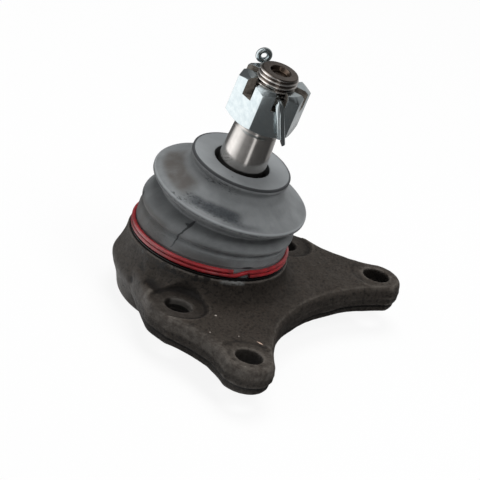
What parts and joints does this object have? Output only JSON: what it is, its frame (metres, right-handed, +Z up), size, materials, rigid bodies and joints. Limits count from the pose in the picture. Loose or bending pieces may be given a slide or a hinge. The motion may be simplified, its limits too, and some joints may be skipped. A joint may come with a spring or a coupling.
{
  "type": "suspension ball joint",
  "caption": "Forged suspension ball joint with a drilled mounting plate, rubber boot, red wire clamp, tapered ball stud, castle nut and cotter pin.",
  "frame": {"origin": "centre of the ball", "axes": "+Z up along the axis of the housing, towards the boot; +X towards the outer pair of bolt holes; at rest the stud leans 6.7 degrees from +Z towards +X"},
  "size_m": [0.0848, 0.111, 0.0934],
  "materials": {
    "forging": "satin, as forged and phosphated, fine grain",
    "cover": "pressed and passivated",
    "rubber": "matt grey, dusty",
    "seal": "black, oily",
    "red_wire": "red coating, semi-gloss",
    "ground_steel": "turned and ground, bright",
    "zinc": "bluish zinc plate",
    "spring_steel": "oiled spring steel",
    "bearing_polymer": "natural polymer",
    "plug_steel": "yellow zinc plate"
  },
  "bodies": {
    "housing": {"housing": "forging", "end_cover": "cover", "cover_seal": "seal", "grease_plug": "plug_steel", "disc_spring": "spring_steel", "pressure_pad": "cover", "upper_bearing": "bearing_polymer", "boot": "rubber", "boot_clamp_ring": "red_wire"},
    "floating_cap": {"lower_bearing": "bearing_polymer"},
    "lip_ring": {"boot_lip_ring": "spring_steel"},
    "stud": {"ball_stud": "ground_steel", "castle_nut": "zinc", "cotter_pin": "zinc"}
  },
  "joints": [
    {"name": "swing", "type": "hinge", "parent": "housing", "child": "floating_cap", "pos_m": [0, 0, 0], "axis": [0, 1, 0], "range_deg": [-26.7, 13.3], "deforming": ["boot"]},
    {"name": "tilt", "type": "hinge", "parent": "floating_cap", "child": "lip_ring", "pos_m": [0, 0, 0], "axis": [0.9932, 0, -0.1167], "range_deg": [-15, 15], "deforming": ["boot"]},
    {"name": "spin", "type": "hinge", "parent": "lip_ring", "child": "stud", "pos_m": [0, 0, 0], "axis": [0.1167, 0, 0.9932], "continuous": true}
  ]
}
